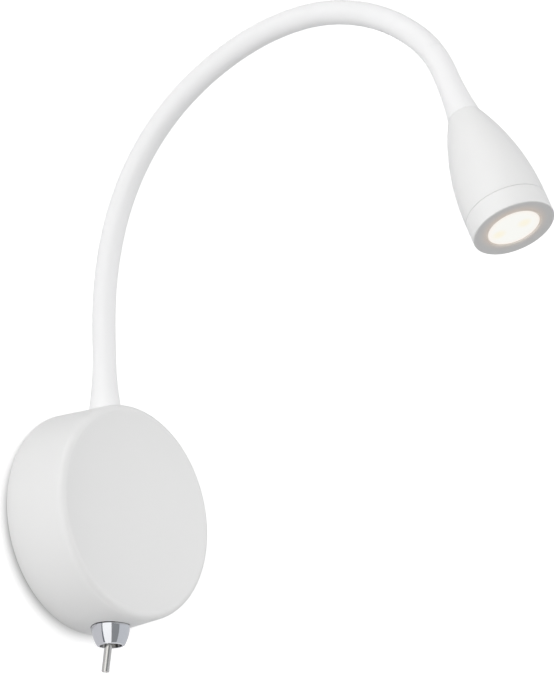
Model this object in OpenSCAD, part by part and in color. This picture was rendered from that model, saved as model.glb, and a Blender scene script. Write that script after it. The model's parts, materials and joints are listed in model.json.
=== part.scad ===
// Wall reading light: a round wall base with a toggle switch under it, a flexible
// sleeved arm out of its top, and a bullet-shaped spotlight head.
// The wall is the plane Y = 0, the light stands out towards -Y, and +Z is up.
// The origin is the centre of the base on the wall. All sizes are in millimetres.

/* [Base] */
// Diameter of the base at the wall
base_back_d = 80; // [78:0.5:96]
// Diameter of the base at its front edge
base_front_d = 77.5; // [76:0.5:94]
// Depth of the base, from the wall to its front edge
base_depth = 25; // [24:0.5:36]
// Radius of the rounded front edge
base_edge_r = 2.5; // [2.2:0.1:4]
// Depth of the hollow in the front face
dish_depth = 2.2; // [1:0.1:3]
// Wall of the base housing
base_wall = 1.8; // [1.4:0.1:2]

/* [Wall plate] */
// Thickness of the plate on the wall
plate_t = 1.5; // [1:0.1:2]
// Gap between the plate's rim and the housing
plate_gap = 0.6; // [0.3:0.1:1]
// Distance between the two wall screws
fixing_pitch = 60; // [58:0.5:62]
// Diameter of the holes for the wall screws
fixing_hole_d = 4.4; // [3.5:0.1:5]
// Bore of the grommet for the supply cable
cable_bore_d = 8; // [6:0.5:9]
// Wall of the grommet
grommet_wall = 1.6; // [1.2:0.1:2]
// Distance of the housing's lock screw from the wall
lock_depth = 7; // [6:0.5:9]
// Diameter of the lock screw
lock_screw_d = 3; // [2.5:0.5:4]

/* [Driver and terminals] */
// Width of the driver
driver_w = 16; // [12:0.5:16]
// Length of the driver
driver_len = 36; // [30:1:38]
// Height of the driver's case
driver_case_h = 11; // [11:0.5:12]
// Height of the driver's lid
driver_lid_h = 3; // [2:0.5:3]
// Distance of the driver's inner side from the middle of the base
driver_from_middle = 9.5; // [9.5:0.1:9.8]
// Diameter of the driver's fixing screws
driver_screw_d = 3; // [2.5:0.5:3]
// Width of the terminal block
terminal_w = 14; // [12:0.5:14]
// Length of the terminal block
terminal_len = 19; // [17:0.5:22]
// Height of the terminal block
terminal_h = 10; // [9:0.5:12]
// Distance of the terminal block's inner side from the middle of the base
terminal_from_middle = 10; // [9.5:0.1:10.2]
// Diameter of the wires in the base
wire_d = 1.6; // [1.2:0.1:1.8]

/* [Switch] */
// Distance of the switch from the wall
switch_from_wall = 11; // [10:0.25:12]
// Diameter of the dress nut where it meets the base
nut_top_d = 13.6; // [12:0.2:15]
// Diameter of the dress nut at its free end
nut_end_d = 8.7; // [8.2:0.1:10]
// Height of the dress nut
nut_h = 7.7; // [6.5:0.1:8]
// Height of the straight band at the dress nut's wide end
nut_band_h = 0.7; // [0.3:0.1:1.5]
// Opening in the free end of the dress nut
nut_mouth_d = 6.8; // [6.6:0.1:7.2]
// Thread diameter of the switch bushing
bushing_d = 6; // [5.8:0.1:6.4]
// Diameter of the toggle lever
lever_d = 2.7; // [2.2:0.1:2.8]
// Length of lever that shows below the dress nut
lever_reach = 8.6; // [6:0.2:12]
// Tilt of the lever towards the wall
lever_tilt = 10.5; // [8:0.5:13]
// Length of the switch body, along X
switch_body_w = 13; // [11:0.5:14]
// Thickness of the switch body, away from the wall
switch_body_t = 8; // [7:0.5:9]
// Height of the switch body
switch_body_h = 10; // [8:0.5:11]

/* [Arm] */
// Distance of the arm from the wall, where it leaves the base
arm_from_wall = 10.1; // [10:0.1:12]
// Diameter of the soft sleeve
sleeve_d = 8.5; // [8.1:0.1:9.4]
// Diameter of the wound steel core
core_d = 6; // [5.4:0.1:6.2]
// Bore of the core
core_bore_d = 3; // [2.6:0.1:3.2]
// Length of the stiff foot of the arm
foot_len = 32; // [24:1:50]
// Length of one link of the flexible stretch
link_len = 19; // [14:0.5:24]
// Bend of each link as the arm is shown, in degrees, from the foot to the head
link_bends = [8.5, 10.5, 13.5, 14.5, 13.5, 11, 10.5, 12, 14.25, 13.5, 14, 23.25]; // 0 to 24 each
// Length of the stiff end of the arm at the head
end_len = 19.5; // [19:0.5:30]
// Diameter of the sleeve's flare on the base
foot_flare_d = 12.3; // [11:0.1:12.6]
// Length of the sleeve's flare on the base
foot_flare_len = 22; // [12:0.5:23]
// Diameter of the sleeve's flare at the head
neck_flare_d = 11.4; // [11:0.1:12]
// Length of the sleeve's flare at the head
neck_flare_len = 18.5; // [14:0.5:18.5]
// Thread diameter of the ferrules at both ends of the arm
ferrule_d = 8; // [7:0.25:8.5]
// Length of the ferrules' thread
ferrule_thread_len = 9; // [8:0.5:10]
// Cut-back of the core on each side of a joint of the arm
joint_gap = 0.8; // [0.7:0.05:1]
// Diameter of the pair of leads through the arm
lead_d = 2; // [1.4:0.1:2.2]

/* [Head] */
// Length of the head
head_len = 47.3; // [46:0.1:60]
// Diameter of the head
head_d = 28; // [27:0.25:32]
// Diameter of the head where it meets the arm
neck_d = 11.2; // [11:0.1:13]
// Length of the head's curved nose
nose_len = 38.5; // [34:0.5:38.5]
// Length of the front ring
ring_len = 7.25; // [7:0.25:7.5]
// Radius of the front ring's outer edge
ring_edge_r = 0.5; // [0.3:0.1:1]
// Wall of the head
head_wall = 1.6; // [1.2:0.1:1.8]
// Opening in the front ring
opening_d = 18.5; // [16:0.1:18.6]
// Depth of the lens behind the ring's front
lens_recess = 0.8; // [0.5:0.1:1.2]
// Diameter of the lens
lens_d = 20.8; // [20:0.1:21.2]
// Thickness of the lens
lens_t = 2; // [1.5:0.1:2.4]
// Thickness of the seal behind the lens
seal_t = 1.2; // [0.8:0.1:1.4]
// Length of the reflector
reflector_len = 7.3; // [6.5:0.1:7.8]
// Thickness of the LED board
board_t = 1.2; // [0.8:0.1:1.6]
// Distance between the two LEDs
led_pitch = 9; // [7.5:0.1:9.6]
// Turn of the LED board about the head's axis
led_turn = 67; // [0:1:90]
// Side of an LED package
led_size = 3.5; // [3:0.1:3.6]
// Height of an LED package
led_h = 1.8; // [1:0.1:2]
// Thickness of the heat sink's flange
sink_flange_t = 4; // [3:0.25:5]
// Length of the heat sink's fins
sink_fin_len = 11; // [8:0.5:13]

/* [Fits] */
// Radial clearance between pieces that are assembled together
fit = 0.1; // [0.05:0.01:0.12]
// Clearance of the lever's ball in its bushing
ball_fit = 0.1; // [0.05:0.01:0.12]

/* [Hidden] */
$fn = 96;
// Facets of the very large arcs
arc_fn = 720;
// Facets round a wire, and the radius of its turns
wire_fn = 32;
wire_turn_r = 2;
// Overshoot of a cut past a face
cut = 1;

// Base: the side is straight from the wall, and touches the front edge's round.
back_r = base_back_d / 2;
edge_c = [base_front_d / 2 - base_edge_r, base_depth - base_edge_r];
side_v = edge_c - [back_r, 0];
side_a = atan2(side_v[1], side_v[0]) - asin(base_edge_r / norm(side_v));
side_n = [sin(side_a), -cos(side_a)];
// The dish is part of a sphere, centred on the axis, that touches the same round.
dish_c = (edge_c * edge_c - pow(base_depth - dish_depth - base_edge_r, 2)) / (2 * dish_depth);
dish_r = dish_c - base_depth + dish_depth;
// Radius of the base's side, or of the inside of its wall, at a distance from the wall
function side_r(depth, inset = 0) = (back_r * side_n[0] - inset - depth * side_n[1]) / side_n[0];
// Depth of a flat land of a given diameter that is cut into the round side
land_skim = 0.1;
function land_cut(d, r) = r - sqrt(r * r - d * d / 4) + land_skim;
// Distance of a land from the middle of the base, under the round side and under its far edge
function land_seat(d, depth) =
    min(side_r(depth) - land_cut(d, side_r(depth)), side_r(depth + d / 2) - land_skim);
// Margin of the lands round the dress nut and round the sleeve's flare
nut_land_margin = 0.2;
flare_land_margin = 0.35;
// Metal behind each land, and the pad inside that gives it a flat back
seat_t = 2.6;
pad_margin = 2.6;

// Wall plate
plate_r = side_r(0, base_wall) - plate_gap;
ear_t = 1.5;
ear_w = 9;
ear_gap = 0.5;
// Outer face of the ears, clear of the housing at the ears' corners and within the plate
ear_x = min(sqrt(pow(side_r(lock_depth + ear_w / 2, base_wall), 2) - ear_w * ear_w / 4) - ear_gap, plate_r);
nib_d = 2.4;
nib_hole_d = nib_d + 2 * fit;
// Wall left over the blind hole that the nib sits in
nib_skin = 0.7;
nib_end_gap = 0.3;
grommet_d = cable_bore_d + 2 * grommet_wall;
grommet_flange = 1.5;
grommet_flange_t = 1.4;
lock_screw_inset = 0.5;
// How far the lock screw comes through its ear
lock_screw_past = 1.7;
lock_screw_len = side_r(lock_depth) - lock_screw_inset - ear_x + ear_t + lock_screw_past;
lock_socket_d = lock_screw_d * 0.58;
lock_socket_depth = 1.5;
lock_point_len = 0.6;

// Driver
driver_x = -driver_from_middle - driver_w / 2;
driver_corner_r = 1.5;
lug_len = 6;
lug_t = 1.5;
lug_margin = 1;
lid_inset = 0.4;
driver_head_d = driver_screw_d * 1.9;
driver_head_h = driver_screw_d * 0.6;
driver_slot = 0.6;
driver_screw_y = driver_len / 2 + lug_len / 2;

// Terminal block
terminal_x = terminal_from_middle + terminal_w / 2;
pole_pitch = terminal_len / 2;
pole_gap = 2;
pole_rib_w = pole_pitch - pole_gap;
pole_rise = 3;
terminal_base_h = terminal_h - pole_rise;
wire_hole_d = 2.8;
wire_hole_h = 3.5;
wire_hole_z = plate_t + wire_hole_h;
terminal_screw_d = 3.2;
terminal_screw_pitch = terminal_w / 2;
terminal_screw_len = 3;
terminal_screw_z = wire_hole_z + wire_d / 2 + fit;
terminal_slot = 0.6;
peg_d = 2.4;

// Switch, measured from its land: outside is negative, inside is positive
switch_land_d = nut_top_d + 2 * nut_land_margin;
switch_seat = land_seat(switch_land_d, switch_from_wall);
washer_t = 0.5;
washer_w = 2.2;
lock_nut_h = 2;
lock_nut_af = 8;
lock_nut_room = 0.6;
switch_body_z = seat_t + washer_t + lock_nut_h + lock_nut_room;
switch_corner_r = 1;
bushing_end = -2.8;
pivot_z = -0.8;
// Bore round the lever's ball, and the wider bore round its tail
ball_d = 3.8;
ball_bore_d = ball_d + 2 * ball_fit;
tail_bore_d = 5.2;
tail_bore_z = 1.5;
tail_d = 1.8;
tail_len = 7;
tail_room = 1;
lever_len = (nut_h + pivot_z + lever_reach) / cos(lever_tilt);
lever_edge = 0.3;
tip_dimple_r = 1;
tip_dimple_depth = 0.4;
nut_thread_len = 3.2;
nut_lip_r = 0.45;
contact_t = 0.8;
contact_w = 2.4;
contact_len = 4.5;
contact_pitch = 5;
contact_hole_d = 1.2;

// Arm, measured from its land on the base
foot_land_d = foot_flare_d + 2 * flare_land_margin;
foot_seat = land_seat(foot_land_d, arm_from_wall);
link_count = len(link_bends);
collar_step = 0.6;
collar_d = ferrule_d + 2 * collar_step;
collar_t = 1.5;
socket_len = 7.5;
socket_floor = 2;
socket_wall = 0.75;
socket_d = core_d + 2 * socket_wall;
// Hairline between neighbouring pieces of the sleeve
sleeve_gap = 0.02;
foot_nut_af = 12;
foot_nut_h = 3.5;
foot_washer_t = 0.6;
foot_washer_margin = 1;
foot_washer_d = foot_nut_af + 2 * foot_washer_margin;

// Heading of the arm at the start of a link, from straight up towards -Y
function heading(k) = k == 0 ? 0 : heading(k - 1) + link_bends[k - 1];
// Radius of a link's bend
function bend_r(b) = link_len * 180 / (PI * b);
// Travel along a link that starts straight up, as [Y, Z]
function travel(b) = b == 0 ? [0, link_len] : [-bend_r(b) * (1 - cos(b)), bend_r(b) * sin(b)];
function turned(v, a) = [v[0] * cos(a) - v[1] * sin(a), v[0] * sin(a) + v[1] * cos(a)];
// Place of each joint of the arm, as [Y, Z]
function station(k) = k == 0
    ? [-arm_from_wall, foot_seat + foot_len]
    : station(k - 1) + turned(travel(link_bends[k - 1]), heading(k - 1));

// Head, measured along its axis from the arm
head_r = head_d / 2;
// The nose is an arc that runs into the straight front
nose_r = (pow(head_r - neck_d / 2, 2) + pow(nose_len, 2)) / (head_d - neck_d);
seam = head_len - ring_len;
seam_groove = 0.2;
function nose_in_r(u) = head_r - nose_r + sqrt(pow(nose_r - head_wall, 2) - pow(nose_len - u, 2));
bore_r = head_r - head_wall;
stack_d = lens_d + 2 * fit;
lens_u = head_len - lens_recess - lens_t;
seal_u = lens_u - seal_t;
reflector_u = seal_u - reflector_len;
board_u = reflector_u - board_t;
sink_u = board_u - sink_flange_t;
sink_gap = 0.2;
fin_gap = 1;
fin_slots = 4;
fin_slot = 1.6;
fin_pitch = 3.6;
sink_fin_u = sink_u - sink_fin_len;
reflector_floor_w = 2.9;
reflector_in_d = lens_d - 2 * reflector_floor_w;
reflector_lip = 0.9;
seal_w = 1.2;
lens_edge = 0.3;
mouth_edge = 0.25;
board_screw_pitch = 10;
board_screw_d = 2.4;
board_head_d = 4.2;
board_head_h = 1.5;
neck_thread_room = 1;
lead_trim = 0.3;
lead_turn = 1.15;
// Height on the driver where the arm's leads come out
lead_y = 8;

LINKS = [for (k = [1:link_count]) k];

white = [0.93, 0.93, 0.92];
soft_white = [0.95, 0.95, 0.94];
chrome = [0.78, 0.79, 0.82];
nickel = [0.72, 0.71, 0.68];
steel = [0.6, 0.6, 0.62];
aluminium = [0.75, 0.76, 0.78];
brass = [0.78, 0.65, 0.35];
black = [0.1, 0.1, 0.11];
grey = [0.45, 0.45, 0.47];
ivory = [0.9, 0.88, 0.8];
red = [0.7, 0.12, 0.1];
led_yellow = [0.95, 0.85, 0.4];
glow = [1, 0.98, 0.92];

// Places

// Wall view: X to the right, Y up and Z out from the wall
module on_wall() rotate([90, 0, 0]) children();
// At the switch's land, with +Z into the base
module at_switch() translate([0, -switch_from_wall, -switch_seat]) children();
// At the arm's land, with +Z along the arm
module at_foot() translate([0, -arm_from_wall, foot_seat]) children();
// At the start of a link, or of the arm's end, with +Z along the arm
module at_link(k) translate([0, station(k)[0], station(k)[1]]) rotate([heading(k), 0, 0]) children();
// At the neck, with +Z along the head
module at_head() at_link(link_count) translate([0, 0, end_len]) children();
// The same, turned as the LED board is
module at_board() at_head() rotate(led_turn) children();

// Shapes that repeat

module ring(d, bore) difference() {
    circle(d = d);
    circle(d = bore);
}

module tube(d, bore, h) linear_extrude(h) ring(d, bore);

module rounded_rect(w, h, r) union() {
    square([w - 2 * r, h], center = true);
    square([w, h - 2 * r], center = true);
    for (x = [-1, 1], y = [-1, 1]) translate([x * (w / 2 - r), y * (h / 2 - r)]) circle(r);
}

module hex_nut(af, bore, h) difference() {
    cylinder(d = af / cos(30), h = h, $fn = 6);
    translate([0, 0, -cut]) cylinder(d = bore, h = h + 2 * cut);
}

module toothed_washer(d, bore, h, teeth = 10) difference() {
    tube(d, bore, h);
    for (k = [0:teeth - 1]) rotate(k * 360 / teeth)
        translate([d / 2 - d / 14, -d / 28, -cut]) cube([d, d / 14, h + 2 * cut]);
}

// A slotted pan-head screw with its head on Z = 0
module pan_screw(d, length, head_d, head_h, slot) difference() {
    union() {
        cylinder(d = head_d, h = head_h);
        translate([0, 0, -length]) cylinder(d = d, h = length);
    }
    translate([-head_d, -slot / 2, head_h / 2]) cube([2 * head_d, slot, head_h]);
}

// A straight run of wire along +Z, with what follows it at its end
module run(d, length) {
    cylinder(d = d, h = length, $fn = wire_fn);
    translate([0, 0, length]) children();
}

// A square turn of a wire from +Z, with what follows it at its end
module turn(d, side) rotate(side) {
    translate([wire_turn_r, 0, 0]) rotate([90, 0, 180]) rotate_extrude(angle = 90)
        translate([wire_turn_r, 0]) circle(d = d, $fn = wire_fn);
    translate([wire_turn_r, 0, wire_turn_r]) rotate([0, 90, 0]) children();
}

// A cross-section carried along one link, cut back at both ends
module along_link(b, trim) {
    if (b == 0) {
        translate([0, 0, trim]) linear_extrude(link_len - 2 * trim) children();
    } else {
        r = bend_r(b);
        a = trim * 180 / (PI * r);
        translate([0, -r, 0]) rotate([90, 0, 90])
            rotate_extrude(angle = b - 2 * a, start = a) translate([r, 0]) children();
    }
}

// Outline of the base, set in by a wall, as [radius, distance from the wall]
module drum_profile(inset, back) {
    r = base_edge_r - inset;
    to_dish = [0, dish_c] - edge_c;
    top = edge_c + r * to_dish / norm(to_dish);
    difference() {
        union() {
            polygon([[0, back], [side_r(back, inset), back], edge_c + r * side_n, edge_c, top, [0, top[1]]]);
            translate(edge_c) circle(r);
        }
        translate([0, dish_c]) circle(dish_r + inset, $fn = arc_fn);
    }
}

// Base

module housing() color(white) difference() {
    on_wall() rotate_extrude() drum_profile(0, 0);
    difference() {
        on_wall() rotate_extrude() drum_profile(base_wall, -cut);
        at_foot() translate([0, 0, -seat_t]) cylinder(d = foot_washer_d + pad_margin, h = back_r);
        at_switch() translate([0, 0, seat_t - back_r]) cylinder(d = switch_land_d + pad_margin, h = back_r);
    }
    at_foot() {
        cylinder(d = foot_land_d, h = back_r);
        translate([0, 0, -back_r / 2]) cylinder(d = ferrule_d + 2 * fit, h = back_r);
    }
    at_switch() {
        translate([0, 0, -back_r]) cylinder(d = switch_land_d, h = back_r);
        translate([0, 0, -back_r / 2]) cylinder(d = bushing_d + 2 * fit, h = back_r);
    }
    translate([ear_x, -lock_depth, 0]) rotate([0, 90, 0]) cylinder(d = lock_screw_d + 3 * fit, h = back_r);
    translate([-ear_x, -lock_depth, 0]) rotate([0, -90, 0])
        cylinder(d = nib_hole_d, h = side_r(lock_depth) - nib_skin - ear_x);
}

module ear() translate([ear_x - ear_t, 0, 0]) {
    translate([0, -ear_w / 2, 0]) cube([ear_t, ear_w, lock_depth]);
    translate([0, 0, lock_depth]) rotate([0, 90, 0]) cylinder(d = ear_w, h = ear_t);
}

module back_plate() color(steel) on_wall() difference() {
    union() {
        cylinder(r = plate_r, h = plate_t);
        intersection() {
            union() {
                ear();
                mirror([1, 0, 0]) ear();
            }
            translate([-back_r, -back_r, 0]) cube([base_back_d, base_back_d, base_depth]);
        }
        translate([-ear_x, 0, lock_depth]) rotate([0, -90, 0])
            cylinder(d = nib_d, h = side_r(lock_depth) - nib_skin - nib_end_gap - ear_x);
    }
    translate([0, 0, -cut]) {
        cylinder(d = grommet_d + 2 * fit, h = plate_t + 2 * cut);
        for (x = [-1, 1]) translate([x * fixing_pitch / 2, 0, 0])
            cylinder(d = fixing_hole_d, h = plate_t + 2 * cut);
        for (y = [-1, 1]) translate([driver_x, y * driver_screw_y, 0])
            cylinder(d = driver_screw_d + 2 * fit, h = plate_t + 2 * cut);
        for (y = [-1, 1]) translate([terminal_x, y * pole_pitch / 2, 0])
            cylinder(d = peg_d + 2 * fit, h = plate_t + 2 * cut);
    }
    translate([0, 0, lock_depth]) rotate([0, 90, 0]) cylinder(d = lock_screw_d + fit, h = back_r);
}

module cable_grommet() color(black) on_wall() {
    tube(grommet_d, cable_bore_d, plate_t);
    translate([0, 0, plate_t]) tube(grommet_d + 2 * grommet_flange, cable_bore_d, grommet_flange_t);
}

module retaining_screw() color(steel)
    translate([side_r(lock_depth) - lock_screw_inset, -lock_depth, 0]) rotate([0, -90, 0]) difference() {
        union() {
            cylinder(d = lock_screw_d, h = lock_screw_len - lock_point_len);
            translate([0, 0, lock_screw_len - lock_point_len])
                cylinder(d1 = lock_screw_d, d2 = lock_screw_d / 2, h = lock_point_len);
        }
        translate([0, 0, -cut]) cylinder(d = lock_socket_d / cos(30), h = lock_socket_depth + cut, $fn = 6);
    }

module terminal_block() color(ivory) on_wall() translate([terminal_x, 0, 0]) difference() {
    union() {
        translate([0, 0, plate_t]) linear_extrude(terminal_base_h)
            rounded_rect(terminal_w, terminal_len, driver_corner_r);
        for (y = [-1, 1]) translate([-terminal_w / 2, y * pole_pitch / 2 - pole_rib_w / 2, plate_t])
            cube([terminal_w, pole_rib_w, terminal_h]);
        for (y = [-1, 1]) translate([0, y * pole_pitch / 2, 0]) cylinder(d = peg_d, h = plate_t + cut);
    }
    for (y = [-1, 1]) translate([0, y * pole_pitch / 2, 0]) {
        translate([-terminal_w, 0, wire_hole_z]) rotate([0, 90, 0])
            cylinder(d = wire_hole_d, h = 2 * terminal_w);
        for (x = [-1, 1]) translate([x * terminal_screw_pitch / 2, 0, wire_hole_z])
            cylinder(d = terminal_screw_d + 2 * fit, h = terminal_h);
    }
}

module terminal_screws() color(brass) on_wall()
    for (x = [-1, 1], y = [-1, 1])
        translate([terminal_x + x * terminal_screw_pitch / 2, y * pole_pitch / 2, terminal_screw_z])
            difference() {
                cylinder(d = terminal_screw_d, h = terminal_screw_len);
                translate([-terminal_screw_d, -terminal_slot / 2, terminal_screw_len - terminal_slot])
                    cube([2 * terminal_screw_d, terminal_slot, terminal_slot + cut]);
            }

module driver_case() color(grey) on_wall() translate([driver_x, 0, plate_t]) difference() {
    union() {
        linear_extrude(driver_case_h) rounded_rect(driver_w, driver_len, driver_corner_r);
        linear_extrude(lug_t)
            rounded_rect(driver_head_d + 2 * lug_margin, driver_len + 2 * lug_len, driver_corner_r);
    }
    for (y = [-1, 1]) translate([0, y * driver_screw_y, -cut])
        cylinder(d = driver_screw_d + 2 * fit, h = lug_t + 2 * cut);
}

module driver_lid() color(black) on_wall() translate([driver_x, 0, plate_t + driver_case_h])
    linear_extrude(driver_lid_h)
        rounded_rect(driver_w - 2 * lid_inset, driver_len - 2 * lid_inset, driver_corner_r - lid_inset);

module driver_screws() color(steel) on_wall()
    for (y = [-1, 1]) translate([driver_x, y * driver_screw_y, plate_t + lug_t])
        pan_screw(driver_screw_d, plate_t + lug_t - fit, driver_head_d, driver_head_h, driver_slot);

// The wires in the base: terminal to switch, switch to driver, and terminal to driver
wire_end = 2;
contact_top = contact_len + switch_body_h + switch_body_z - switch_seat;
live_rise = 6;
live_out_y = contact_top + live_rise;

module base_leads() color(red) on_wall() {
    translate([terminal_from_middle + wire_end, -pole_pitch / 2, wire_hole_z]) rotate([0, -90, 0])
        run(wire_d, terminal_from_middle + wire_end - contact_pitch / 2 - wire_turn_r) turn(wire_d, 0)
            run(wire_d, switch_from_wall - wire_hole_z - 2 * wire_turn_r) turn(wire_d, -90)
                run(wire_d, -pole_pitch / 2 - wire_turn_r - contact_top);
    translate([-contact_pitch / 2, contact_top, switch_from_wall]) rotate([-90, 0, 0])
        run(wire_d, live_out_y - contact_top - wire_turn_r) turn(wire_d, 180)
            run(wire_d, driver_from_middle - contact_pitch / 2 - wire_turn_r);
    translate([terminal_from_middle + wire_end, pole_pitch / 2, wire_hole_z]) rotate([0, -90, 0])
        run(wire_d, terminal_from_middle + wire_end + driver_from_middle);
}

// Switch

module switch_body() color(black) at_switch() translate([0, 0, switch_body_z]) difference() {
    linear_extrude(switch_body_h) rounded_rect(switch_body_w, switch_body_t, switch_corner_r);
    translate([0, 0, -cut]) cylinder(d = tail_bore_d, h = tail_room + cut);
}

module switch_contacts() color(brass) at_switch()
    for (x = [-1, 1]) translate([x * contact_pitch / 2, 0, switch_body_z + switch_body_h])
        rotate([90, 0, 0]) translate([0, 0, -contact_t / 2]) linear_extrude(contact_t) difference() {
            translate([-contact_w / 2, 0]) square([contact_w, contact_len]);
            translate([0, contact_len / 2]) circle(d = contact_hole_d);
        }

module switch_bushing() color(nickel) at_switch() difference() {
    translate([0, 0, bushing_end]) cylinder(d = bushing_d, h = switch_body_z - bushing_end);
    translate([0, 0, bushing_end - cut]) cylinder(d = ball_bore_d, h = 2 * switch_body_z);
    translate([0, 0, tail_bore_z]) cylinder(d = tail_bore_d, h = switch_body_z);
}

module switch_washer() color(steel) at_switch() translate([0, 0, seat_t])
    toothed_washer(bushing_d + 2 * washer_w, bushing_d + 2 * fit, washer_t);

module switch_lock_nut() color(steel) at_switch() translate([0, 0, seat_t + washer_t])
    hex_nut(lock_nut_af, bushing_d + 2 * fit, lock_nut_h);

module switch_dress_nut() color(chrome) at_switch() {
    top_r = nut_top_d / 2;
    end_r = nut_end_d / 2;
    bowl_h = nut_h - nut_band_h;
    bowl_r = (pow(top_r - end_r, 2) + bowl_h * bowl_h) / (nut_top_d - nut_end_d);
    mouth_r = nut_mouth_d / 2;
    lip_x = end_r - nut_lip_r;
    rotate_extrude() difference() {
        union() {
            intersection() {
                translate([top_r - bowl_r, -nut_band_h]) circle(bowl_r, $fn = arc_fn);
                translate([0, -nut_h + nut_lip_r]) square([top_r, bowl_h - nut_lip_r]);
            }
            translate([0, -nut_band_h]) square([top_r, nut_band_h]);
            translate([0, -nut_h]) square([lip_x, nut_h]);
            translate([lip_x, -nut_h + nut_lip_r]) circle(nut_lip_r);
        }
        translate([0, -nut_thread_len]) square([bushing_d / 2 + fit, nut_h]);
        polygon([[0, -nut_h - cut], [mouth_r, -nut_h - cut], [mouth_r, -nut_h + nut_lip_r],
                 [bushing_d / 2 + fit, -nut_thread_len], [0, -nut_thread_len]]);
    }
}

module switch_lever() color(nickel) at_switch() translate([0, 0, pivot_z]) rotate([lever_tilt, 0, 0]) {
    cylinder(d = tail_d, h = tail_len);
    sphere(d = ball_d);
    difference() {
        rotate_extrude() polygon([[0, 0], [lever_d / 2, 0], [lever_d / 2, lever_edge - lever_len],
                                  [lever_d / 2 - lever_edge, -lever_len], [0, -lever_len]]);
        translate([0, 0, -lever_len - tip_dimple_r + tip_dimple_depth]) sphere(r = tip_dimple_r);
    }
}

// Arm

// Threaded end of the arm: thread below Z = 0, collar and socket above
module ferrule() color(brass) difference() {
    union() {
        translate([0, 0, -ferrule_thread_len]) cylinder(d = ferrule_d, h = ferrule_thread_len);
        cylinder(d = collar_d, h = collar_t);
        cylinder(d = socket_d, h = collar_t + socket_len);
    }
    translate([0, 0, -ferrule_thread_len - cut]) cylinder(d = core_bore_d, h = 2 * ferrule_thread_len);
    translate([0, 0, collar_t + socket_floor]) cylinder(d = core_d + 2 * fit, h = socket_len);
}

// Outline of the sleeve's flared end, with the flare at Z = 0 and the ferrule's room inside it
module flared_sleeve(length, flare_d, flare_len) color(soft_white) {
    sleeve_r = sleeve_d / 2;
    rise = (flare_d - sleeve_d) / 2;
    flare_r = (rise * rise + flare_len * flare_len) / (2 * rise);
    rotate_extrude() difference() {
        square([flare_d / 2, length]);
        translate([sleeve_r, flare_len]) square([flare_d, length]);
        translate([sleeve_r + flare_r, flare_len]) circle(flare_r, $fn = arc_fn);
        translate([0, -cut]) square([core_d / 2 + fit, length + 2 * cut]);
        translate([0, -cut]) square([socket_d / 2 + fit, collar_t + socket_len + fit + cut]);
        translate([0, -cut]) square([collar_d / 2 + fit, collar_t + fit + cut]);
    }
}

module foot_ferrule() at_foot() ferrule();

module foot_washer() color(steel) at_foot() translate([0, 0, -seat_t - foot_washer_t])
    toothed_washer(foot_washer_d, ferrule_d + 2 * fit, foot_washer_t);

module foot_nut() color(brass) at_foot() translate([0, 0, -seat_t - foot_washer_t - foot_nut_h])
    hex_nut(foot_nut_af, ferrule_d + 2 * fit, foot_nut_h);

module sleeve_foot() at_foot() flared_sleeve(foot_len - sleeve_gap, foot_flare_d, foot_flare_len);

module core_foot() color(steel) at_foot() translate([0, 0, collar_t + socket_floor])
    tube(core_d, core_bore_d, foot_len - joint_gap - collar_t - socket_floor);

module sleeve_link(k) color(soft_white) at_link(k - 1)
    along_link(link_bends[k - 1], sleeve_gap) ring(sleeve_d, core_d + 2 * fit);

module core_link(k) color(steel) at_link(k - 1)
    along_link(link_bends[k - 1], joint_gap) ring(core_d, core_bore_d);

module sleeve_end() at_head() mirror([0, 0, 1])
    flared_sleeve(end_len - sleeve_gap, neck_flare_d, neck_flare_len);

module core_end() color(steel) at_link(link_count) translate([0, 0, joint_gap])
    tube(core_d, core_bore_d, end_len - joint_gap - collar_t - socket_floor);

module head_ferrule() at_head() mirror([0, 0, 1]) ferrule();

// The pair of leads, from the driver through the whole arm to the LED board
module arm_leads() color(white) {
    on_wall() translate([-driver_from_middle, lead_y, arm_from_wall]) rotate([0, 90, 0])
        run(lead_d, driver_from_middle - wire_turn_r) turn(lead_d, 90)
            run(lead_d, foot_seat + foot_len - lead_trim - lead_y - wire_turn_r);
    for (k = [0:link_count]) at_link(k) sphere(d = lead_d * lead_turn, $fn = wire_fn);
    for (k = LINKS) at_link(k - 1)
        along_link(link_bends[k - 1], lead_trim) circle(d = lead_d, $fn = wire_fn);
    at_link(link_count) translate([0, 0, lead_trim])
        cylinder(d = lead_d, h = end_len + board_u - lead_trim, $fn = wire_fn);
}

// Head

// Outline of the nose and the straight front behind the seam, set in by a wall
module head_profile(inset, from) {
    translate([0, from]) square([head_r - inset, seam - from + inset]);
}

module nose_outside(inset) translate([head_r - nose_r, nose_len]) difference() {
    translate([0, -2 * nose_r]) square([2 * nose_r, 2 * nose_r]);
    circle(nose_r - inset, $fn = arc_fn);
}

module head_shell() color(white) at_head() rotate_extrude() difference() {
    head_profile(0, 0);
    nose_outside(0);
    difference() {
        head_profile(head_wall, ferrule_thread_len + neck_thread_room);
        nose_outside(head_wall);
    }
    translate([0, -cut]) square([ferrule_d / 2 + fit, ferrule_thread_len + neck_thread_room + 2 * cut]);
    polygon([[head_r - seam_groove, seam], [head_r + cut, seam - seam_groove - cut],
             [head_r + cut, seam + cut], [head_r - seam_groove, seam + cut]]);
}

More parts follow.
